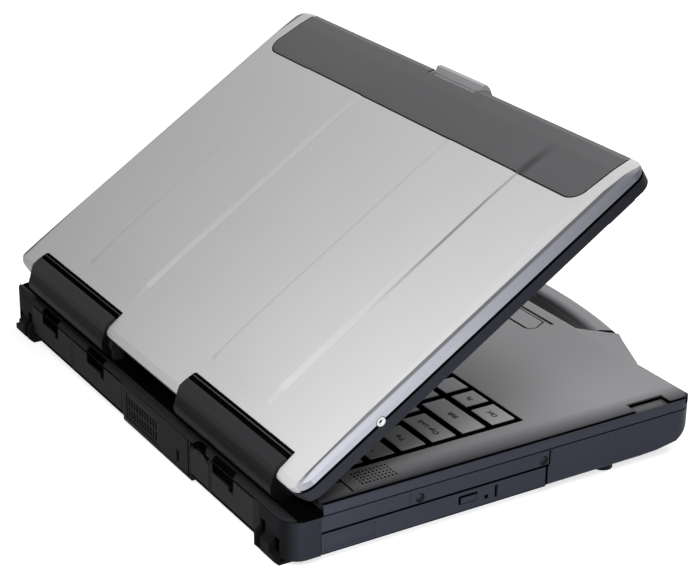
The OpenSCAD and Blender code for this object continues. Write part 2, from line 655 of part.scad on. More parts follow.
module disc_tray() in_case() color("#35363c") {
  // front of the drive
  difference() {
    block([-half_w, drive_front + gap, 0.3], [-half_w + 4, drive_rear - gap, drive_h]);
    block([-half_w - e, eject_y - eject_w / 2, 4.6], [-half_w + 3, eject_y + eject_w / 2, 10]);
    block([-half_w - e, drive_front + 31.6, 2.8], [-half_w + 1.2, drive_front + 33, 10.6]);
    block([-half_w - e, drive_rear - 32, 2], [-half_w + 0.5, drive_rear - 2, drive_h - 1.6]);
  }
  // tray with the seat of a disc
  difference() {
    block([-half_w + 4 - e, drive_front + 4 + tray_gap, 2 + tray_gap],
          [-half_w + bay_in - 6, drive_rear - 6 - tray_gap, 7.4]);
    translate([disc_x, disc_y, 4.6]) cylinder(r = disc_r, h = 6, $fn = 96);
    translate([disc_x, disc_y, 3]) cylinder(r = 9, h = 6);
  }
}
module disc_spindle() in_case() color("#c9cacc")
  translate([disc_x, disc_y, 3 + 0.1]) {
    cylinder(r = 8.6, h = 2);
    cylinder(r = 7.2, h = 4);
  }

module eject_button() in_case() color("#4a4b52")
  block([-half_w + 0.3, eject_y - eject_w / 2 + gap, 4.6 + gap],
        [-half_w + 2, eject_y + eject_w / 2 - gap, 10 - gap]);

module side_strip_cover() in_case() color("#32343e") difference() {
  block([-half_w, strip_front + gap, strip_z + gap], [-half_w + strip_t, strip_rear - gap, part_z]);
  for (y = strip_screw_y) rod_x(-half_w - e, -half_w + 0.9, y, strip_z + 3.4, 2.5);
}

module side_screws() in_case() color("#202024") for (y = strip_screw_y) difference() {
  rod_x(-half_w + 0.1, -half_w + 0.9, y, strip_z + 3.4, 2.2);
  translate([-half_w, y, strip_z + 3.4]) for (a = [0, 90])
    rotate([a, 0, 0]) cube([0.8, 2.6, 0.6], center = true);
}

// ---------- rear ports ----------

// A hinged cover over one group of sockets.
module port_cover(i) in_case() color("#2f3034") {
  x = ports[i][1];
  w = ports[i][2];
  lx = port_latch_x[i];
  difference() {
    union() {
      block([x - w / 2 + gap, half_d - cover_t + gap / 2, cover_pin_z],
            [x + w / 2 - gap, half_d, cover_z + cover_h - gap]);
      rod_x(x - w / 2 + gap, x + w / 2 - gap, cover_pin_y, cover_pin_z, cover_t / 2 - gap / 2);
      rod_x(x - w / 2 - cover_pin_l, x + w / 2 + cover_pin_l, cover_pin_y, cover_pin_z, cover_pin_r);
    }
    // recess of the latch, with a notch for a fingernail
    block([lx - port_latch_w / 2, half_d - 1.6, latch_low], [lx + port_latch_w / 2, half_d + e, latch_high]);
    block([lx - port_latch_w / 2, half_d - 1.6, latch_low - 2.4],
          [lx - port_latch_w / 2 + 5, half_d + e, latch_high]);
  }
}
module port_cover_left() port_cover(0);
module port_cover_middle() port_cover(1);
module port_cover_right() port_cover(2);

// The slider that locks a port cover.
module port_latch(i) in_case() color("#3a3b40") {
  x0 = port_latch_x[i] - port_latch_w / 2 + gap;
  x1 = port_latch_x[i] + port_latch_w / 2 - gap - latch_travel;
  block([x0, half_d - 1.5, latch_low + gap], [x1, half_d - 0.6, latch_high - gap]);
  block([x0 + 3, half_d - 0.7, latch_low + 0.9], [x0 + 4.6, half_d - 0.1, latch_high - 0.9]);
}
module port_latch_left() port_latch(0);
module port_latch_middle() port_latch(1);
module port_latch_right() port_latch(2);

module power_inlet() in_case() color("#1e1e20") difference() {
  block([inlet_x - 6, drive_rear + 2, floor_z], [inlet_x + 6, half_d - cover_t - 3.4, 16]);
  translate([inlet_x, half_d - 5, 11]) rotate([90, 0, 0]) cylinder(r = 3.2, h = 10);
}

module power_inlet_cover() in_case() color("#2b2c30") {
  difference() {
    union() {
      block([inlet_x - inlet_w / 2 + gap, half_d - cover_t + gap / 2, cover_pin_z],
            [inlet_x + inlet_w / 2 - gap, half_d, inlet_arch_z]);
      along_y(half_d - cover_t + gap / 2, half_d)
        translate([inlet_x, inlet_arch_z]) circle(inlet_w / 2 - gap);
      rod_x(inlet_x - inlet_w / 2 + gap, inlet_x + inlet_w / 2 - gap, cover_pin_y, cover_pin_z,
            cover_t / 2 - gap / 2);
      rod_x(inlet_x - inlet_w / 2 - cover_pin_l, inlet_x + inlet_w / 2 + cover_pin_l,
            cover_pin_y, cover_pin_z, cover_pin_r);
    }
    // nail notch
    translate([inlet_x, half_d + 1.6, inlet_arch_z + 7]) sphere(r = 2.6);
  }
}

module vent_grille() in_case() color("#242426") difference() {
  block([vent_x - vent_w / 2 + e, half_d - cover_t + e, 2 + e],
        [vent_x + vent_w / 2 - e, half_d - 0.4, 2 + vent_h - e]);
  for (i = [-5:5], j = [0, 1])
    block([vent_x + i * 3.3 - 0.8, half_d - cover_t - 1, 3.8 + j * 6.4],
          [vent_x + i * 3.3 + 0.8, half_d + 1, 9 + j * 6.4]);
}

// ---------- underside ----------

module memory_hatch() in_case() color("#33343a")
  block([memory_x - hatch_margin, memory_y - hatch_margin, 0],
        [memory_x + memory_w + hatch_margin, memory_y + memory_d + hatch_margin, 1.2]);

module bottom_screws() in_case() color("#18181a") for (p = screw_places()) translate([p[0], p[1], 0.2])
  difference() {
    cylinder(r = 2.8, h = 1);
    for (a = [0, 90]) rotate([0, 0, a]) cube([3, 0.7, 0.9], center = true);
  }

// ---------- hinges ----------

// Bracket of the right hinge: foot on the trench floor, knuckle and pin.
module hinge_bracket() in_case() color("#1f1f22") {
  block([knuckle_x, axis_y - 3.4, trench_z], [knuckle_x + knuckle_w, axis_y + 2.8, axis_z]);
  rod_x(knuckle_x, knuckle_x + knuckle_w, axis_y, axis_z, 4.4);
  rod_x(knuckle_x + knuckle_w - e, cover_in + 22, axis_y, axis_z, pin_r);
}
module hinge_bracket_right() hinge_bracket();
module hinge_bracket_left() mirror([1, 0, 0]) hinge_bracket();

// Arm of the right hinge: sleeve on the pin and plate along the lid.
module hinge_arm() in_lid() color("#9c9da1") difference() {
  union() {
    rod_x(cover_in + 3, cover_in + 20, axis_y, axis_z, 4.6);
    block([cover_in + 3, lid_rear - 44, lcd_z + lcd_t], [cover_in + 20, axis_y, lcd_z + lcd_t + 2.2]);
  }
  rod_x(cover_in + 2, cover_in + 21, axis_y, axis_z, pin_r + run_gap);
}
module hinge_arm_right() hinge_arm();
module hinge_arm_left() mirror([1, 0, 0]) hinge_arm();

// Section of a hinge cover in Y and Z, with the lid closed.
module cover_section() polygon([
  [axis_y, lid_z - bezel_t], [lid_rear - 14.8, lid_z - bezel_t], [lid_rear - 14.8, lid_z + 6.4],
  [lid_rear - 13.6, lid_z + 7.2], [lid_rear - 8, lid_z + 7.9], [lid_rear - 3.6, lid_z + 7.8],
  [lid_rear - 1.2, lid_z + 6.2], [axis_y + (barrel_r - 0.05) * cos(42), axis_z + (barrel_r - 0.05) * sin(42)],
  [axis_y + 0.4 * barrel_r, axis_z - 1]]);

// Cover of the right hinge, with a groove along its top between two distances from the middle.
module hinge_cover(groove_in, groove_out) in_lid() color("#29292c") difference() {
  union() {
    rod_x(cover_in, cover_out, axis_y, axis_z, barrel_r);
    along_x(cover_in, cover_out) cover_section();
  }
  // inside of the barrel and the way into the lid
  rod_x(cover_in + 1.6, cover_out - 1.6, axis_y, axis_z, barrel_r - 1.6);
  along_x(cover_in + 1.6, cover_out - 1.6) polygon([
    [axis_y - 5, lcd_z], [lid_rear - 30, lcd_z], [lid_rear - 30, lid_z + 5],
    [lid_rear - 5, lid_z + 5], [axis_y + 3, axis_z + 4]]);
  rod_x(cover_in - 1, cover_in + 2, axis_y, axis_z, pin_r + 0.5);
  block([groove_in, lid_rear - 12.4, lid_z + 6.5], [groove_out, lid_rear - 9.9, lid_z + 9]);
}
module hinge_cover_right() hinge_cover(cover_in - e, cover_out - 14);
module hinge_cover_left() mirror([1, 0, 0]) hinge_cover(cover_in + 10, cover_out + e);

// ---------- lid ----------

// Height of the outer face above the parting plane, at distances from the hinge edge.
module lid_profile(drop = 0) polygon([
  [lid_rear, lid_z - 20], [lid_rear, lid_z + 2.6 - drop], [lid_rear - 1.2, lid_z + 4.4 - drop],
  [lid_rear - 4, lid_z + 5.6 - drop], [lid_rear - 15, lid_z + 6.4 - drop],
  [lid_rear - lid_l / 4, lid_z + 7.8 - drop],
  [lid_rear - lid_l / 2, lid_z + 8.3 - drop], [lid_rear - 0.75 * lid_l, lid_z + 8.8 - drop],
  [lid_front + 30, lid_z + 8 - drop], [lid_front + 12, lid_z + 6 - drop], [lid_front + 3, lid_z + 4.2 - drop],
  [lid_front, lid_z + 2.6 - drop], [lid_front, lid_z - 20]]);

// Outer form of the lid's silver shell.
module lid_form(drop = 0) intersection() {
  translate([0, lid_rear - lid_l / 2, lid_z - 10]) linear_extrude(30) round_rect(lid_w, lid_l, 10);
  along_x(-lid_w / 2, lid_w / 2) lid_profile(drop);
  along_y(lid_front, lid_rear) polygon([
    [-lid_w / 2, lid_z - 20], [-lid_w / 2, lid_z + 4.6 - drop], [-lid_w / 2 + 3.6, lid_z + 7.4 - drop],
    [-lid_w / 2 + 12, lid_z + 9 - drop], [lid_w / 2 - 12, lid_z + 9 - drop],
    [lid_w / 2 - 3.6, lid_z + 7.4 - drop], [lid_w / 2, lid_z + 4.6 - drop], [lid_w / 2, lid_z - 20]]);
}

// Outline of the dark band, seen from above.
module band_outline(grow = 0) translate([0, lid_front + band_l / 2 - 5])
  round_rect(2 * (band_half + grow), band_l + 10 + 2 * grow, 9);

// Cut-outs of the lid for the hinge covers, knuckles and latch.
module lid_cuts() {
  both_sides() {
    block([cover_in - gap, lid_rear - 15, axis_z - 20], [cover_out + gap, lid_rear + 5, lid_z + 20]);
    block([knuckle_x - gap, axis_y - 7, axis_z - 20], [cover_in, lid_rear + 5, lid_z]);
  }
  block([-tab_half - gap, lid_front - e, axis_z - 20], [tab_half + gap, lid_front + 4.6, lid_z + 20]);
}

// Seats of the round side screws, half in the shell and half in the bezel.
module lid_screw_seats() both_sides() rod_x(-lid_w / 2 - e, -lid_w / 2 + 1.3, lid_screw_y, lid_screw_z, 3);

module lid_shell() in_lid() color("#c2c1c2") difference() {
  intersection() {
    lid_form();
    translate([0, 0, lid_z]) linear_extrude(20) square(2 * base_w, center = true);
  }
  // hollow inside
  intersection() {
    lid_form(band_t + skin_t);
    translate([0, lid_rear - lid_l / 2, lid_z - e]) linear_extrude(20) round_rect(lid_w - 5, lid_l - 5, 8);
  }
  lid_screw_seats();
  // seat of the band
  difference() {
    translate([0, 0, lid_z - 10]) linear_extrude(30) band_outline(e);
    lid_form(band_t);
  }
  lid_cuts();
}

module lid_band() in_lid() color("#58585a") difference() {
  intersection() {
    lid_form();
    translate([0, 0, lid_z - 10]) linear_extrude(30) band_outline();
  }
  lid_form(band_t);
  lid_cuts();
}

module display_bezel() in_lid() color("#26262a") difference() {
  union() {
    difference() {
      translate([0, lid_rear - lid_l / 2, lid_z - bezel_t]) linear_extrude(bezel_t)
        round_rect(lid_w, lid_l, 10);
      translate([0, lid_rear - lid_l / 2, lcd_z]) linear_extrude(bezel_t)
        round_rect(lid_w - 4.4, lid_l - 4.4, 8);
    }
    // ears that hold the pivot of the latch
    both_sides()
      block([tab_half + gap, lid_front + 1, lid_z - bezel_t], [tab_half + 4, lid_front + 7, lid_z]);
  }
  rod_x(-tab_half - 2.1, tab_half + 2.1, latch_pivot_y, latch_pivot_z, 1 + run_gap);
  block([-screen_w / 2, screen_y - screen_h / 2, lid_z - bezel_t - 1],
        [screen_w / 2, screen_y + screen_h / 2, lid_z + 1]);
  // relief along the hinge edge, so that the lid turns clear of the trench
  along_x(-lid_w / 2 - e, lid_w / 2 + e) polygon([
    [lid_rear + e, lid_z - bezel_t - e], [lid_rear + e, lid_z - 3], [lid_rear - 3, lid_z - bezel_t - e]]);
  // seats of the side screws
  lid_screw_seats();
  lid_cuts();
}
module lcd_panel() in_lid() color("#15171b")
  block([-screen_w / 2 - 5, screen_y - screen_h / 2 - 5, lcd_z],
        [screen_w / 2 + 5, screen_y + screen_h / 2 + 5, lcd_z + lcd_t]);

module lid_latch() in_lid() color("#b5b5b8") {
  rod_x(-tab_half, tab_half, latch_pivot_y, latch_pivot_z, 1.8);
  rod_x(-tab_half - 2, tab_half + 2, latch_pivot_y, latch_pivot_z, 1);
  along_x(-tab_half, tab_half) polygon([
    [latch_pivot_y - 1, lid_z - 2.4], [latch_pivot_y - 1, lid_z + 0.8], [lid_front - 2.6, lid_z + 3.2],
    [lid_front - 5, lid_z + 2], [lid_front - 5.6, lid_z - 1], [lid_front - 4.6, lid_z - bezel_t],
    [lid_front - 1.8, lid_z - bezel_t], [lid_front - 1.2, lid_z - 2.8]]);
  along_x(-9, 9) polygon([
    [lid_front - 1.8, lid_z - bezel_t + e], [lid_front - 4.6, lid_z - bezel_t + e],
    [lid_front - 4.6, lid_z - bezel_t - 3.4], [lid_front - 0.6, lid_z - bezel_t - 3.4],
    [lid_front - 0.6, lid_z - bezel_t - 2.2], [lid_front - 1.8, lid_z - bezel_t - 1.6]]);
}

module lid_bumpers() in_lid() color("#1b1b1d") {
  // stabilisers that drop into the pockets of the palm rest
  both_sides() along_y(stabiliser_y - stabiliser_l / 2, stabiliser_y + stabiliser_l / 2) polygon([
    [-half_w + 2, lid_z - bezel_t], [-half_w + 9.4, lid_z - bezel_t], [-half_w + 8.6, lid_z - bezel_t - 3],
    [-half_w + 2.6, lid_z - bezel_t - 3]]);
  // pads round the screen
  for (x = [52 - screen_w / 2, screen_w / 2 - 52], y = [lid_front + 9, lid_rear - 22])
    translate([x, y, lid_z - bezel_t - 0.7]) cylinder(r = 4, h = 0.7);
}

module lid_screws() in_lid() color("#e8e8ea") both_sides() difference() {
  rod_x(-lid_w / 2 + 0.2, -lid_w / 2 + 1.3, lid_screw_y, lid_screw_z, 2.8);
  rod_x(-lid_w / 2, -lid_w / 2 + 0.9, lid_screw_y, lid_screw_z, 1.2);
}

for (k = own_keys) own_key(k);
bottom_case();
top_cover();
carry_handle();
corner_guard_left();
corner_guard_right();
rubber_feet();
keyboard_plate();
key_caps();
touchpad();
touchpad_button_left();
touchpad_button_right();
speaker_left();
speaker_right();
motherboard();
memory_modules();
heat_sink();
fan_housing();
fan_rotor();
hard_drive();
battery_pack();
battery_latch();
optical_drive();
disc_tray();
disc_spindle();
eject_button();
side_strip_cover();
side_screws();
port_cover_left();
port_latch_left();
port_cover_middle();
port_latch_middle();
port_cover_right();
port_latch_right();
power_inlet();
power_inlet_cover();
vent_grille();
memory_hatch();
bottom_screws();
power_switch();
hinge_bracket_left();
hinge_bracket_right();
hinge_arm_left();
hinge_arm_right();
hinge_cover_left();
hinge_cover_right();
lid_shell();
lid_band();
display_bezel();
lcd_panel();
lid_latch();
lid_bumpers();
lid_screws();
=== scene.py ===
"""Looks of a rugged notebook computer with a front carry handle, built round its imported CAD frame."""

import math

import bpy
from mathutils import Matrix, Vector


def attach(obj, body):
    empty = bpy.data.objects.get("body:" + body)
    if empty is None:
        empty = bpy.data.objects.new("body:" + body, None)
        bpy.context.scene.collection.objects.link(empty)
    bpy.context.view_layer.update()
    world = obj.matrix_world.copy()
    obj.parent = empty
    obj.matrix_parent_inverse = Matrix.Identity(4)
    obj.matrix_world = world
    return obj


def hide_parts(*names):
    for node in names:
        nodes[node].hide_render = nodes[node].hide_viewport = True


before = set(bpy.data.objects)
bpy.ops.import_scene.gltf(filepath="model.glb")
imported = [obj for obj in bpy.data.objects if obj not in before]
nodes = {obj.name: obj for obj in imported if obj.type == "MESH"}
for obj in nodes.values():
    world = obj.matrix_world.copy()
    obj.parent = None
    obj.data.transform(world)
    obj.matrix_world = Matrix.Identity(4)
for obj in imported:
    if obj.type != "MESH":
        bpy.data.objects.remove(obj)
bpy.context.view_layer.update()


# ---------- studio ----------
# A pale table top in a white surround. A small soft lamp stands close to the notebook's left rear corner, so
# that the lid fades towards the far side, and a large one hangs in front, over the palm rest.
# The camera looks down on the lid from behind that corner.

def srgb(text):
    """Linear colour with full alpha from an sRGB hex value such as "#8a8a8c"."""
    values = [int(text[i:i + 2], 16) / 255 for i in (1, 3, 5)]
    linear = [v / 12.92 if v <= 0.04045 else ((v + 0.055) / 1.055) ** 2.4 for v in values]
    return (*linear, 1.0)


def node(material, kind, inputs=None, **settings):
    """Adds a shader node; each input is a value or the output socket that feeds it."""
    tree = material.node_tree
    made = tree.nodes.new(kind)
    for name, value in settings.items():
        setattr(made, name, value)
    for name, value in (inputs or {}).items():
        if isinstance(value, bpy.types.NodeSocket):
            tree.links.new(value, made.inputs[name])
        else:
            made.inputs[name].default_value = value
    return made


view_from = Vector((-0.8716, 0.5536, 0.5037))
view_right = Vector((-0.5269, -0.8498, 0.0148))
view_up = Vector((0.3448, -0.1978, 0.9176))
view_back = Vector((-0.7769, 0.4886, 0.3972))
camera_data = bpy.data.cameras.new("camera")
camera_data.lens = 100.31
camera_data.sensor_width = 36
camera = bpy.data.objects.new("camera", camera_data)
turn = Matrix((view_right, view_up, view_back)).transposed().to_4x4()
camera.matrix_world = Matrix.Translation(view_from) @ turn
bpy.context.scene.collection.objects.link(camera)
bpy.context.scene.camera = camera
bpy.context.scene.view_settings.view_transform = "Standard"


def background_rays(material):
    """A socket that is 1 for rays that see the surround directly, in a mirror or through glass."""
    ray = node(material, "ShaderNodeLightPath")
    direct = node(material, "ShaderNodeMath",
                  {0: ray.outputs["Is Camera Ray"], 1: ray.outputs["Is Glossy Ray"]}, operation="MAXIMUM")
    seen = node(material, "ShaderNodeMath",
                {0: direct.outputs[0], 1: ray.outputs["Is Transmission Ray"]}, operation="MAXIMUM")
    return seen.outputs[0]


surround = bpy.data.worlds.new("surround")
surround.use_nodes = True
bpy.context.scene.world = surround
sky = surround.node_tree.nodes["Background"]
sky.inputs["Color"].default_value = srgb("#f6f8fb")
sky.inputs["Strength"].default_value = 0.13
paper = node(surround, "ShaderNodeBackground", {"Color": (1, 1, 1, 1), "Strength": 1.0})
seen = node(surround, "ShaderNodeMixShader",
            {0: background_rays(surround), 1: sky.outputs[0], 2: paper.outputs[0]})
surround.node_tree.links.new(seen.outputs[0], surround.node_tree.nodes["World Output"].inputs["Surface"])

bpy.ops.object.select_all(action="DESELECT")
bpy.ops.mesh.primitive_plane_add(size=8, location=(0, 0, 0))
floor = bpy.context.object
floor.name = "table_top"
table_paint = bpy.data.materials.new("matt_white_table_paint")
table_paint.use_nodes = True
shader = table_paint.node_tree.nodes["Principled BSDF"]
shader.inputs["Base Color"].default_value = srgb("#e9e9ea")
shader.inputs["Roughness"].default_value = 0.9
glow_level = 0.74
lift = node(table_paint, "ShaderNodeMath",
            {0: background_rays(table_paint), 1: glow_level}, operation="MULTIPLY")
glow = node(table_paint, "ShaderNodeEmission", {"Color": (1, 1, 1, 1), "Strength": lift.outputs[0]})
both = node(table_paint, "ShaderNodeAddShader", {0: shader.outputs[0], 1: glow.outputs[0]})
table_out = table_paint.node_tree.nodes["Material Output"]
table_paint.node_tree.links.new(both.outputs[0], table_out.inputs["Surface"])
floor.data.materials.append(table_paint)

# name, place and width in metres, and power in watts
lamps = (
    ("corner_lamp", (-0.32, 0.3, 0.27), 0.15, 1.3),
    ("front_lamp", (0.1, -0.38, 0.85), 0.6, 5.6),
)
lit_point = Vector((0, 0, 0.05))
for name, place, size, power in lamps:
    lamp_data = bpy.data.lights.new(name, "AREA")
    lamp_data.size = size
    lamp_data.energy = power
    lamp = bpy.data.objects.new(name, lamp_data)
    lamp.location = place
    lamp.rotation_euler = (lit_point - lamp.location).to_track_quat("-Z", "Y").to_euler()
    lamp.visible_camera = False
    bpy.context.scene.collection.objects.link(lamp)


# ---------- lower case ----------
# The tub, the floor hatch and the drive and battery fronts are die-cast magnesium, sprayed with a satin dark
# blue-grey paint. It has a fine pebble and is a little paler along the edges. The rear wall is painted a
# neutral near-black as shade, and so is a line along the lower edge. Dark lines are the gaps round the drive,
# the card cover and the power inlet.

MM = 0.001
X, Y, Z = (1, 0, 0), (0, 1, 0), (0, 0, 1)


def surface(name, colour, roughness, grain_mm, grain_depth_mm,
            shift=0.06, metallic=0.0, gloss=0.3, edge_mm=0.5, edge_blend=0.2, edge_colour=None):
    """A moulded or painted skin: cloudy colour, patchy gloss, fine grain, soft edges of a second colour."""
    material = bpy.data.materials.new(name)
    material.use_nodes = True
    tree = material.node_tree
    shader = tree.nodes["Principled BSDF"]
    shader.inputs["Metallic"].default_value = metallic
    shader.inputs["Specular IOR Level"].default_value = gloss
    place = node(material, "ShaderNodeTexCoord")
    cloud_mm = 35
    cloud = node(material, "ShaderNodeTexNoise",
                 {"Vector": place.outputs["Object"], "Scale": 1 / (cloud_mm * MM), "Detail": 3.0})
    base = srgb(colour)
    dark = tuple(c * (1 - shift) for c in base[:3]) + (1,)
    light = tuple(min(1, c * (1 + shift)) for c in base[:3]) + (1,)
    paler_edge = tuple(min(1, c * 1.5 + 0.01) for c in base[:3]) + (1,)
    tint = node(material, "ShaderNodeMix", {0: cloud.outputs[0], 6: dark, 7: light}, data_type="RGBA")
    # a soft band along the edges is blended towards edge_colour, and where none is given towards a paler tone
    soft = node(material, "ShaderNodeBevel", {"Radius": edge_mm * MM}, samples=6)
    flat = node(material, "ShaderNodeNewGeometry")
    bend = node(material, "ShaderNodeVectorMath",
                {0: soft.outputs[0], 1: flat.outputs["Normal"]}, operation="DOT_PRODUCT")
    edge = node(material, "ShaderNodeMapRange",
                {"Value": bend.outputs["Value"], "From Min": 1.0, "From Max": 0.85, "To Max": edge_blend})
    edge_toned = node(material, "ShaderNodeMix",
                {0: edge.outputs[0], 6: tint.outputs[2], 7: srgb(edge_colour) if edge_colour else paler_edge},
                data_type="RGBA")
    tree.links.new(edge_toned.outputs[2], shader.inputs["Base Color"])
    patchy = node(material, "ShaderNodeMapRange",
                  {"Value": cloud.outputs[0], "To Min": roughness - 0.05, "To Max": roughness + 0.07})
    tree.links.new(patchy.outputs[0], shader.inputs["Roughness"])
    grain = node(material, "ShaderNodeTexNoise",
                 {"Vector": place.outputs["Object"], "Scale": 1 / (grain_mm * MM), "Detail": 2.0})
    relief = node(material, "ShaderNodeBump",
                  {"Height": grain.outputs[0], "Distance": grain_depth_mm * MM, "Strength": 0.4,
                   "Normal": soft.outputs[0]})
    tree.links.new(relief.outputs[0], shader.inputs["Normal"])
    return material


def along(material, direction):
    """A socket that measures a surface point along a direction."""
    place = node(material, "ShaderNodeTexCoord")
    measure = node(material, "ShaderNodeVectorMath",
                   {0: place.outputs["Object"], 1: direction}, operation="DOT_PRODUCT")
    return measure.outputs["Value"]


def from_centre(material, across, centre):
    """A socket that measures the distance from a point, in the plane whose directions are 1 in across."""
    place = node(material, "ShaderNodeTexCoord")
    flat = node(material, "ShaderNodeVectorMath",
                {0: place.outputs["Object"], 1: across}, operation="MULTIPLY")
    measure = node(material, "ShaderNodeVectorMath",
                   {0: flat.outputs[0], 1: [c * MM for c in centre]}, operation="DISTANCE")
    return measure.outputs["Value"]


def patch(material, colour, *limits, gloss=None):
    """Another colour inside limits; each is a measure or direction, its two ends and its softness in mm."""
    tree = material.node_tree
    shader = tree.nodes["Principled BSDF"]
    inside = 1.0
    for measure, low, high, soft in limits:
        if not isinstance(measure, bpy.types.NodeSocket):
            measure = along(material, measure)
        rise = node(material, "ShaderNodeMapRange",
                    {"Value": measure, "From Min": (low - soft) * MM, "From Max": (low + soft) * MM})
        fall = node(material, "ShaderNodeMapRange",
                    {"Value": measure, "From Min": (high + soft) * MM, "From Max": (high - soft) * MM})
        between = node(material, "ShaderNodeMath",
                       {0: rise.outputs[0], 1: fall.outputs[0]}, operation="MULTIPLY")
        inside = node(material, "ShaderNodeMath",
                      {0: between.outputs[0], 1: inside}, operation="MULTIPLY").outputs[0]
    before = shader.inputs["Base Color"].links[0].from_socket
    both = node(material, "ShaderNodeMix", {0: inside, 6: before, 7: srgb(colour)}, data_type="RGBA")
    tree.links.new(both.outputs[2], shader.inputs["Base Color"])
    if gloss is not None:
        level = shader.inputs["Specular IOR Level"]
        before = level.links[0].from_socket if level.links else level.default_value
        dull = node(material, "ShaderNodeMix", {0: inside, 2: before, 3: gloss})
        tree.links.new(dull.outputs[0], level)


def gap_or_painted_shade(material, *limits):
    """A gap, or the painted shade deep in a recess, inside limits: black, and without gloss."""
    patch(material, "#060607", *limits, gloss=0.0)


def dress(material, *names):
    """Gives CAD nodes a material of their own."""
    for name in names:
        nodes[name].data.materials.clear()
        nodes[name].data.materials.append(material)


left_side = (X, -180, -168.6, 0.1)
drive_face = (X, -180, -167, 0.1)
rear_wall = (Y, 139.5, 150, 0.1)
latch_middles = (-103, 50.5, 114)
latch_cut_half = 11.4
case_paint = surface("satin_paint_on_cast_magnesium", "#3b3d4a", 0.45, 0.7, 0.04, gloss=0.1)
# painted shade: the rear wall in a neutral near-black
patch(case_paint, "#131315", rear_wall, gloss=0.02)
# gap over the drive, gap at its front end, painted shade along the lower edge and the seam beside the power
# inlet
gap_or_painted_shade(case_paint, left_side, (Z, 16.5, 17.8, 0.15), (Y, -16.4, 124, 0.2))
gap_or_painted_shade(case_paint, left_side, (Z, 5, 17.5, 0.6), (Y, -15.9, -14.3, 0.2))
gap_or_painted_shade(case_paint, left_side, (Z, 17.5, 26, 0.15), (Y, -17.1, -16.1, 0.15))
gap_or_painted_shade(case_paint, left_side, (Z, 4, 5.3, 0.5))
gap_or_painted_shade(case_paint, rear_wall, (X, -65.4, -64.0, 0.15), (Z, 4, 27, 0.15))
# groove round the eject button, the drive's lamp and its emergency hole
gap_or_painted_shade(case_paint, drive_face, (Z, 12.8, 14.4, 0.15), (Y, 29.6, 41.6, 0.15))
gap_or_painted_shade(case_paint, drive_face, (Z, 9.6, 14.0, 0.3), (Y, 39.9, 41.7, 0.15))
gap_or_painted_shade(case_paint, left_side, (Z, 8.0, 14.6, 0.3), (Y, 16.7, 18.7, 0.2))
gap_or_painted_shade(case_paint, left_side, (from_centre(case_paint, (0, 1, 1), (0, 24, 9.6)), -1, 1.3, 0.2))
dress(case_paint, "bottom_case", "disc_tray", "eject_button", "side_strip_cover", "memory_hatch",
      "battery_pack")


# ---------- bulge under the fan ----------
# The floor of the tub is drawn down a little behind the fan, in one piece with the casting. The bulge runs
# from the power inlet to the vent, rounds up into the rear wall and slopes away to the front.

bpy.ops.object.select_all(action="DESELECT")
bpy.ops.mesh.primitive_cube_add(size=1, location=(0, 0, 0))
bulge = bpy.context.object
bulge.name = "fan_bulge"
bpy.ops.object.mode_set(mode="EDIT")
bulge_size = Vector((83, 30, 3.2))
bulge_middle = Vector((-26.5, 127.9, 4.5))
slope_start = 131
front_rise = 1.9
bpy.ops.transform.resize(value=bulge_size * MM)
bpy.ops.transform.translate(value=bulge_middle * MM)
bpy.ops.mesh.bisect(plane_co=(0, slope_start * MM, 0), plane_no=Y)
bpy.ops.mesh.select_all(action="DESELECT")
bpy.ops.object.mode_set(mode="OBJECT")
for point in bulge.data.vertices:
    point.select = point.co.y < bulge_middle.y * MM and point.co.z < bulge_middle.z * MM
bpy.ops.object.mode_set(mode="EDIT")
bpy.ops.mesh.select_mode(type="VERT")
bpy.ops.transform.translate(value=(0, 0, front_rise * MM))
bpy.ops.mesh.select_all(action="SELECT")
bpy.ops.mesh.normals_make_consistent(inside=False)
bpy.ops.object.mode_set(mode="OBJECT")
bpy.ops.object.modifier_add(type="BEVEL")
bulge.modifiers[-1].width = 0.8 * MM
bulge.modifiers[-1].segments = 3
bpy.ops.object.modifier_apply(modifier=bulge.modifiers[-1].name)
bpy.ops.object.shade_smooth_by_angle(angle=math.radians(35))
bulge.data.materials.append(case_paint)
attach(bulge, "base")


# ---------- feet, corner guards and screws ----------
# Moulded elastomer guards clip over the rear corners and carry the rear feet; two pads are glued in front.
# The guards' rear faces are painted darker as shade, and the insides of their strap slots black.
# The screws are steel with a black oxide skin. Those beside the card cover are painted with the case. Painted
# shade of their seats lies as a dark crescent on one side of each head and as a dark ring round it.


def both_sides(low, high, soft=0.1):
    """Limits for the same stretch on the left and on the right, by its distances from the middle."""
    return (X, -high, -low, soft), (X, low, high, soft)


guard_rubber = surface("moulded_matt_elastomer", "#2b2e36", 0.62, 0.9, 0.05, gloss=0.1)
# painted shade on the rear faces of the guards
patch(guard_rubber, "#151517", (Y, 138.5, 160, 3), gloss=0.02)
# painted shade inside the strap slots
for strap_way in both_sides(142.2, 161.4, 0.2):
    gap_or_painted_shade(guard_rubber, strap_way, (Y, 120, 142.2, 0.3), (Z, 1.9, 18.6, 0.2))
dress(guard_rubber, "corner_guard_left", "corner_guard_right", "rubber_feet", "lid_bumpers")
black_oxide = surface("black_oxide_steel", "#2c2c30", 0.38, 0.4, 0.02, metallic=0.7)
dress(black_oxide, "bottom_screws")
painted_screw = surface("painted_steel_screw", "#3b3d4a", 0.45, 0.5, 0.02, gloss=0.1)
side_screw_places = (65.8, -12.6)
for y in side_screw_places:
    # painted shade: a crescent on each screw head, and a ring in the case round its seat
    crescent = from_centre(painted_screw, (0, 1, 1), (0, y + 0.8, 21.6))
    patch(painted_screw, "#101116", (crescent, 1.5, 6, 0.2), (Y, y - 4, y + 4, 0.1))
    seat = from_centre(case_paint, (0, 1, 1), (0, y - 0.2, 20.7))
    patch(case_paint, "#101116", (seat, 1.9, 2.7, 0.1), left_side)
dress(painted_screw, "side_screws")


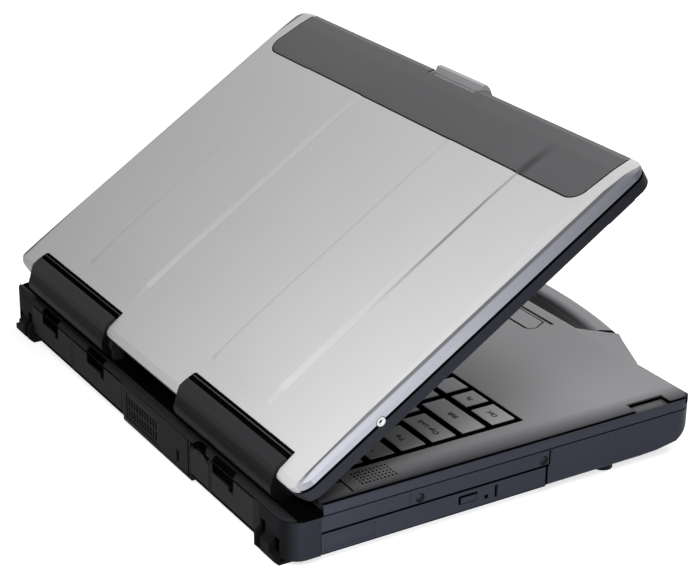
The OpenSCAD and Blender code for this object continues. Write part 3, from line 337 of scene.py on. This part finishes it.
# ---------- rear covers ----------
# Port covers, the inlet cover and the vent grille are moulded black plastic, with dark gaps between them.
# A port cover hangs on pins along its lower edge; its latch slides in a deep recess at the top.

black_abs = surface("moulded_black_abs", "#29292b", 0.55, 0.8, 0.04, gloss=0.02, edge_blend=0.95, edge_mm=0.8,
                    edge_colour="#060607")
# painted shade on what lies deep in the openings and in the latches' recesses; the gap under the rail and the
# inlet's crescent
gap_or_painted_shade(black_abs, (Y, 120, 142.35, 0.1))
gap_or_painted_shade(black_abs, (Z, 25.0, 26.2, 0.15), rear_wall)
for x in latch_middles:
    gap_or_painted_shade(black_abs, (X, x - latch_cut_half, x + latch_cut_half, 0.2), (Z, 20.0, 26.5, 0.2), rear_wall)
inlet_arch = from_centre(black_abs, (1, 0, 1), (-77.5, 0, 18.9))
gap_or_painted_shade(black_abs, (inlet_arch, 7.6, 12, 0.3), (Z, 22.5, 32, 2.0), (X, -87, -70.2, 0.8), rear_wall)
dress(black_abs, "port_cover_left", "port_cover_middle", "port_cover_right", "port_latch_left",
      "port_latch_middle", "port_latch_right", "power_inlet", "power_inlet_cover", "vent_grille")
satin_abs = surface("moulded_satin_black_abs", "#2c2c2e", 0.5, 0.8, 0.03, gloss=0.1, edge_blend=0.1)
dress(satin_abs, "speaker_left", "speaker_right", "fan_housing", "fan_rotor", "battery_latch")


# ---------- top cover ----------
# The palm rest is grey moulded plastic with a fine grain. Painted shade darkens it towards the sides, where a
# black seam parts it from the painted rim. From the trench of the hinges back it is near-black, and the walls
# of the keyboard well and of the other seats and slots are painted black as shade.

deck_abs = surface("moulded_grey_abs", "#929294", 0.5, 0.7, 0.03, gloss=0.15, edge_blend=0.1)
# painted shade towards the sides of the palm rest
for side in both_sides(160, 180, 7):
    patch(deck_abs, "#333337", side)
for side in (left_side, (X, 168.6, 180, 0.1), (Z, 20, 28.6, 0.3)):
    patch(deck_abs, "#3b3d4a", side)
for seam in both_sides(167.2, 169.4, 0.3):
    gap_or_painted_shade(deck_abs, seam, (Y, -119, 124, 2), (Z, 29, 33, 0.1))
gap_or_painted_shade(deck_abs, left_side, (Z, 25.8, 26.9, 0.15))
# painted shade on the walls of the keyboard well, the touchpad's seat, the speaker slots and the lid pegs'
# pockets, and the touchpad's lines
gap_or_painted_shade(deck_abs, (X, -146.9, 146.9, 0.2), (Y, -18, 98, 0.2), (Z, 10, 32.7, 0.1))
gap_or_painted_shade(deck_abs, (X, -57, 57, 0.2), (Y, -106, -30, 0.2), (Z, 10, 32.9, 0.1))
gap_or_painted_shade(deck_abs, (X, -55.5, 55.5, 0.2), (Y, -106.6, -105.2, 0.15), (Z, 30, 36, 1))
gap_or_painted_shade(deck_abs, (X, -51, 51, 0.2), (Y, -88.8, -87.9, 0.15), (Z, 30, 36, 1))
for speaker_slots in both_sides(148.8, 162.6, 0.2):
    gap_or_painted_shade(deck_abs, speaker_slots, (Y, 73.5, 96, 0.2), (Z, 10, 32.85, 0.1))
for pocket in both_sides(159.4, 168.95):
    gap_or_painted_shade(deck_abs, pocket, (Y, -100.7, -75.3, 0.1), (Z, 30.3, 32.2, 0.1))
# light guides of the lamps beside the keyboard
gap_or_painted_shade(deck_abs, (X, -165.2, -151.2, 0.2), (Y, 102.4, 103.6, 0.2), (Z, 30, 36, 1))
gap_or_painted_shade(deck_abs, (X, -154.6, -153.4, 0.2), (Y, 103, 106.6, 0.2), (Z, 30, 36, 1))
# trench of the hinges and rear rail; the trench and the cut-outs over the port latches are painted black as
# shade
trench_front = 122.9
patch(deck_abs, "#222224", (Y, trench_front, 160, 0.1), gloss=0.03)
gap_or_painted_shade(deck_abs, (Y, trench_front, 137.4, 0.2), (Z, 20, 30, 0.1))
for x in latch_middles:
    gap_or_painted_shade(deck_abs, (X, x - latch_cut_half, x + latch_cut_half, 0.3), (Y, 140.4, 150, 0.2))
# joints between the shoulders and the ends of the grip, which run outwards to the front
shoulders = (Y, -145, -116.8, 0.1)
grip_joints = [((-side * 0.831, -0.557, 0), 11.2, 12.9, 0.15) for side in (-1, 1)]
for joint in grip_joints:
    gap_or_painted_shade(deck_abs, joint, shoulders)
dress(deck_abs, "top_cover")


# ---------- carry handle ----------
# One stiff moulding in grey plastic, screwed under the palm rest. Its grip is rounded for the fingers, and
# its inner side is painted dark as shade.

handle_abs = surface("moulded_handle_abs", "#929295", 0.5, 0.7, 0.03, gloss=0.25, edge_blend=0.1)
# painted shade on the inner side of the grip
patch(handle_abs, "#0c0c0e", (Y, -137, -100, 1.5), (Z, 0, 27, 3), (X, -50, 50, 12))
for joint in grip_joints:
    gap_or_painted_shade(handle_abs, joint, shoulders)
dress(handle_abs, "carry_handle")


# ---------- keyboard and touchpad ----------
# The caps are moulded grey plastic, their sides painted black as shade, on a black coated sheet metal plate.
# Their legends are
# printed in a darker grey ink, and stand a few hundredths of a millimetre above the cap.

key_abs = surface("moulded_key_abs", "#b4b4b6", 0.6, 0.6, 0.03, gloss=0.2, edge_blend=0.1)
# painted shade on the sides of the caps
gap_or_painted_shade(key_abs, (Z, 10, 33.05, 0.15))
key_nodes = ("key_control", "key_function", "key_menu", "space_bar", "key_shift", "key_caps_lock", "key_tab")
dress(key_abs, "key_caps", *key_nodes)
button_abs = surface("moulded_button_abs", "#8e8e90", 0.5, 0.6, 0.03, gloss=0.25, edge_blend=0.1)
dress(button_abs, "touchpad_button_left", "touchpad_button_right", "touchpad")
plate_paint = surface("black_coated_sheet_metal", "#141416", 0.6, 0.6, 0.02, gloss=0.15)
dress(plate_paint, "keyboard_plate", "hinge_bracket_left", "hinge_bracket_right", "hinge_arm_left",
      "hinge_arm_right")

legend_ink = surface("dark_grey_key_print", "#3a3a38", 0.6, 0.6, 0.0, gloss=0.15, edge_mm=0.01, edge_blend=0.0)
pitch = 19.3
row_pitch = 19.2
key_front = -15.3
function_row_middle = 5 * row_pitch + 7.5
key_top = 33.4
ink_height = 0.03
ink_depth = 0.07
letter_size = 5.8
word_size = 4.2
key_widths = (
    (1.25, 1, 1, 1.25, 5.5, 1, 1, 1, 1, 1),
    (2.25, *[1] * 10, 1.75, 1),
    (1.75, *[1] * 11, 2.25),
    (1.5, *[1] * 12, 1.5),
    (*[1] * 13, 2),
    (15 / 16,) * 16,
)
key_legends = (
    ("Ctrl", "Fn", "", "Alt", "", "Alt", "Ctrl", "Home", "PgDn", "End"),
    ("Shift", *"ZXCVBNM,./", "Shift", "PgUp"),
    ("Caps Lock", *"ASDFGHJKL;'", "Enter"),
    ("Tab", *"QWERTYUIOP[]", "\\"),
    ("`", *"1234567890-=", "Backspace"),
    ("Esc", *[f"F{i}" for i in range(1, 13)], "Num", "Ins", "Del"),
)
own_legends = {(0, 0): "key_control", (0, 1): "key_function", (1, 0): "key_shift", (2, 0): "key_caps_lock",
               (3, 0): "key_tab"}
printed = {}
for row, (widths, legends) in enumerate(zip(key_widths, key_legends)):
    left = -sum(widths) / 2
    for i, (width, legend) in enumerate(zip(widths, legends)):
        centre = left + width / 2
        left += width
        if not legend:
            continue
        y = key_front + (function_row_middle if row == 5 else (row + 0.5) * row_pitch)
        bpy.ops.object.select_all(action="DESELECT")
        ink_middle = key_top + (ink_height - ink_depth) / 2
        bpy.ops.object.text_add(location=Vector((centre * pitch, y, ink_middle)) * MM)
        word = bpy.context.object
        word.data.body = legend
        word.data.size = (letter_size if len(legend) == 1 else word_size) * MM
        word.data.align_x = "CENTER"
        word.data.align_y = "CENTER"
        word.data.extrude = (ink_height + ink_depth) / 2 * MM
        word.data.offset = 0.25 * MM
        word.data.resolution_u = 3
        bpy.ops.object.convert(target="MESH")
        bpy.ops.object.transform_apply(location=True, rotation=True, scale=True)
        printed.setdefault(own_legends.get((row, i), "base"), []).append(word)
for body, words in printed.items():
    bpy.ops.object.select_all(action="DESELECT")
    for word in words:
        word.select_set(True)
    bpy.context.view_layer.objects.active = words[0]
    if len(words) > 1:
        bpy.ops.object.join()
    print_set = bpy.context.view_layer.objects.active
    print_set.name = "key_print_" + body
    print_set.data.materials.append(legend_ink)
    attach(print_set, body)


# ---------- inside ----------
# The circuit board and memory have a green solder mask, the heat sink is bare copper, and the drives and
# their spindle are rolled or turned aluminium. Little of them shows, behind open covers and the open tray.

solder_mask = surface("green_solder_mask", "#1e5b3a", 0.4, 1.2, 0.03, gloss=0.5)
dress(solder_mask, "motherboard", "memory_modules")
copper = surface("drawn_copper", "#b87348", 0.3, 0.5, 0.01, metallic=1.0, gloss=0.5)
dress(copper, "heat_sink")
sheet_metal = surface("rolled_aluminium", "#a9aaac", 0.35, 0.5, 0.01, metallic=1.0, gloss=0.5)
dress(sheet_metal, "hard_drive", "optical_drive", "disc_spindle")


# ---------- lid shell ----------
# The lid's outer shell is cast magnesium in a metallic silver paint. Two long raised panels stiffen it, which
# stand 1.6 mm proud near the hinges and 0.6 mm at the dark band. A fine shadow line lies where the flat outer
# face turns down into the sides, which are a cooler silver. Their sloping faces are painted darker than the
# upright ones, as shade against the light that falls more on them, and painted shade darkens the sides
# towards the free edge.

hinge_axis = Vector((0, 132.9, 36.5)) * MM
lid_turn = math.radians(32.8)
lid_out = Vector((0, math.sin(lid_turn), math.cos(lid_turn)))
lid_along = Vector((0, -math.cos(lid_turn), math.sin(lid_turn)))
edge_past_axis = 0.7
parting_above_axis = 5
outer_face = 8
lid_v0 = hinge_axis.dot(lid_along) / MM - edge_past_axis
lid_w0 = hinge_axis.dot(lid_out) / MM + parting_above_axis
panel_slopes = (44.5, 48, 105, 109)


def lid_v(point):
    """Distance from the hinge edge of the lid, in millimetres."""
    return point.dot(lid_along) / MM - lid_v0


def lid_w(point):
    """Height above the lid's parting plane, in millimetres."""
    return point.dot(lid_out) / MM - lid_w0


def lid_length(low, high, soft):
    """Limits by the distance from the hinge edge of the lid, in millimetres."""
    return lid_along, lid_v0 + low, lid_v0 + high, soft


def lid_height(low, high, soft):
    """Limits by the height above the lid's parting plane, in millimetres."""
    return lid_out, lid_w0 + low, lid_w0 + high, soft


def merged_copy(node_name, name):
    """A new object with a CAD node's shape, its doubles merged and its flat faces whole again."""
    mesh = nodes[node_name].data.copy()
    copy = bpy.data.objects.new(name, mesh)
    bpy.context.scene.collection.objects.link(copy)
    bpy.ops.object.select_all(action="DESELECT")
    copy.select_set(True)
    bpy.context.view_layer.objects.active = copy
    bpy.ops.object.mode_set(mode="EDIT")
    bpy.ops.mesh.select_all(action="SELECT")
    bpy.ops.mesh.customdata_custom_splitnormals_clear()
    bpy.ops.mesh.remove_doubles(threshold=0.00001)
    bpy.ops.mesh.dissolve_limited(angle_limit=math.radians(0.3))
    bpy.ops.object.mode_set(mode="OBJECT")
    mesh.materials.clear()
    return copy


def cut_lines(plane_normal, places):
    """Scores the active mesh, in edit mode, along parallel planes."""
    for place in places:
        bpy.ops.mesh.select_all(action="SELECT")
        bpy.ops.mesh.bisect(plane_co=place, plane_no=plane_normal)


def raise_panels(piece, first, last, height_mm, fall):
    """Lifts the two long panels of the lid's outer face; they fall towards the free edge by an angle."""
    bpy.ops.object.mode_set(mode="EDIT")
    cut_lines(X, [Vector((side * x * MM, 0, 0)) for side in (-1, 1) for x in panel_slopes])
    cut_lines(lid_along, [lid_along * (v + lid_v0) * MM for v in first + last])
    bpy.ops.mesh.select_all(action="DESELECT")
    bpy.ops.object.mode_set(mode="OBJECT")
    reach = 0.1
    face_depth = 1.8
    for point in piece.data.vertices:
        x, v, w = abs(point.co.x) / MM, lid_v(point.co), lid_w(point.co)
        across = panel_slopes[1] - reach < x < panel_slopes[2] + reach
        lengthwise = first[-1] - reach < v < last[0] + reach
        point.select = across and lengthwise and w > outer_face - face_depth
    bpy.ops.object.mode_set(mode="EDIT")
    bpy.ops.mesh.select_mode(type="VERT")
    bpy.ops.transform.translate(value=lid_out * height_mm * MM)
    start = (lid_along * (lid_v0 + first[-1]) + lid_out * (lid_w0 + outer_face)) * MM
    bpy.ops.transform.rotate(value=fall, orient_axis="X", center_override=start)
    bpy.ops.object.mode_set(mode="OBJECT")


def smooth_faces(piece, angle):
    """Shades a mesh smooth below an angle, with its large faces kept flat."""
    bpy.ops.object.shade_smooth_by_angle(angle=math.radians(angle))
    bpy.ops.object.modifier_add(type="WEIGHTED_NORMAL")
    piece.modifiers[-1].keep_sharp = True
    bpy.ops.object.modifier_apply(modifier=piece.modifiers[-1].name)


lid_paint = surface("metallic_silver_paint", "#c2c1c2", 0.45, 0.6, 0.02, shift=0.02, metallic=0.12, edge_blend=0.0)
# sloping faces of the sides in painted shade, darker than the upright ones where more light falls; painted
# shade towards their free end; and the gap over the display's frame
side_limits = zip(both_sides(166.9, 171), both_sides(170.37, 180, 0.02), both_sides(166.9, 180))
for facet, upright, edge in side_limits:
    patch(lid_paint, "#9a9ca5", facet, lid_length(3, 238, 3))
    patch(lid_paint, "#bcbec8", upright)
    patch(lid_paint, "#62636e", edge, lid_length(190, 500, 90))
    gap_or_painted_shade(lid_paint, edge, lid_height(-2, 1.1, 0.15))
for fold in both_sides(166.1, 167.8, 0.2):
    patch(lid_paint, "#5e5e62", fold, lid_length(6, 236, 4))
# gap round the dark band: its two corners, its ends and its long side
corner_x, corner_v, corner_r = 148, 215, 9
for side, outwards, end in zip((-1, 1), both_sides(corner_x, 160, 0.05), both_sides(155, 157.9)):
    corner = lid_along * (lid_v0 + corner_v) + lid_out * (lid_w0 + outer_face)
    corner.x = side * corner_x
    ring = from_centre(lid_paint, (1, 1, 1), corner)
    gap_or_painted_shade(lid_paint, (ring, corner_r - 1, corner_r + 0.9, 0.1), outwards, lid_length(200, corner_v, 0.05))
    gap_or_painted_shade(lid_paint, end, lid_length(corner_v, 243, 0.05))
gap_or_painted_shade(lid_paint, (X, -corner_x, corner_x, 0.05), lid_length(205.1, 207, 0.1))
# shade along the outer foot of the left panel
patch(lid_paint, "#808082", (X, -109.4, -107.8, 0.5), lid_length(120, 206, 30))
panel_fall = math.radians(-0.33)
lid_shell = merged_copy("lid_shell", "lid_outer_shell")
raise_panels(lid_shell, [26, 36], [206], 1.6, panel_fall)
smooth_faces(lid_shell, 10)
lid_shell.data.materials.append(lid_paint)
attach(lid_shell, "lid")
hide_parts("lid_shell")


# ---------- latch and power switch ----------
# The latch hook on the lid's free edge and the power switch in the right side are moulded plastic in a plain
# satin silver paint, duller than the lid.

latch_paint = surface("satin_silver_paint_on_abs", "#a4a4a6", 0.5, 0.6, 0.02, metallic=0.1, gloss=0.2,
                      edge_blend=0.1)
dress(latch_paint, "lid_latch", "power_switch")


# ---------- dark band of the lid ----------
# A separate strip over the aerials along the lid's free edge, lacquered in a dark satin grey. The ends of the
# raised panels run on into it and fade out, with a soft shade along the left one.

band_lacquer = surface("dark_satin_lacquer", "#555557", 0.34, 0.6, 0.01, metallic=0.1, gloss=0.15,
                       edge_blend=0.3)
patch(band_lacquer, "#3c3c3e", (X, -112.5, -107.4, 1.5), lid_length(200, 226, 8))
lid_band = merged_copy("lid_band", "lid_dark_band")
raise_panels(lid_band, [200], [215, 232], 0.6, 0)
smooth_faces(lid_band, 10)
lid_band.data.materials.append(band_lacquer)
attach(lid_band, "lid")
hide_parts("lid_band")


# ---------- hinge covers ----------
# Moulded satin black covers, clipped over the hinges. A flat lip lies against the lid, with a painted
# highlight line for a fine ridge, and under a deep groove the barrel rounds down towards the trench, its
# lower side painted darker as shade.

cover_abs = surface("moulded_hinge_cover_abs", "#232325", 0.42, 0.8, 0.02, gloss=0.1, edge_blend=0.1)
lip = lid_height(6, 9, 0.2)
# painted shade on the lower side of the barrel
patch(cover_abs, "#0c0c0d", lid_length(-30, 1, 2.5), gloss=0.03)
gap_or_painted_shade(cover_abs, lid_length(9.6, 15.5, 0.2), lip)
# painted highlight line standing for a fine ridge on the lip
patch(cover_abs, "#4a4a4c", lid_length(12.5, 13.1, 0.1), lip)
dress(cover_abs, "hinge_cover_left", "hinge_cover_right")


# ---------- display ----------
# The dark frame is moulded plastic, screwed to the shell from inside, with painted shade darkening it towards
# the free edge, and the panel has a smooth glass front. A white nylon plug sits in each side of the lid, half
# in the shell and half in the frame, with a painted shadow round its rim and painted shade in the hole in its
# middle.

bezel_abs = surface("moulded_bezel_abs", "#2b2c35", 0.5, 0.6, 0.02, gloss=0.1, edge_blend=0.1)
# painted shade towards the free edge of the frame
patch(bezel_abs, "#18191e", lid_length(225, 400, 30))
gap_or_painted_shade(bezel_abs, lid_height(-0.8, 1, 0.15))
dress(bezel_abs, "display_bezel")
screen = surface("display_glass", "#15171b", 0.12, 0.6, 0.0, gloss=0.5)
dress(screen, "lcd_panel")
plug_nylon = surface("moulded_white_nylon", "#f0f0f2", 0.4, 0.4, 0.01)
plug_v, plug_w = 54.7, 0.6
plug_centre = lid_along * (lid_v0 + plug_v) + lid_out * (lid_w0 + plug_w)
plug_radius = from_centre(plug_nylon, (0, 1, 1), plug_centre)
# painted shadow round the plug's rim
patch(plug_nylon, "#2a2a2c", (plug_radius, 2.5, 4, 0.15))
# painted shade in the hole in the plug's middle
patch(plug_nylon, "#404042", (plug_radius, -1, 1.0, 0.2))
dress(plug_nylon, "lid_screws")
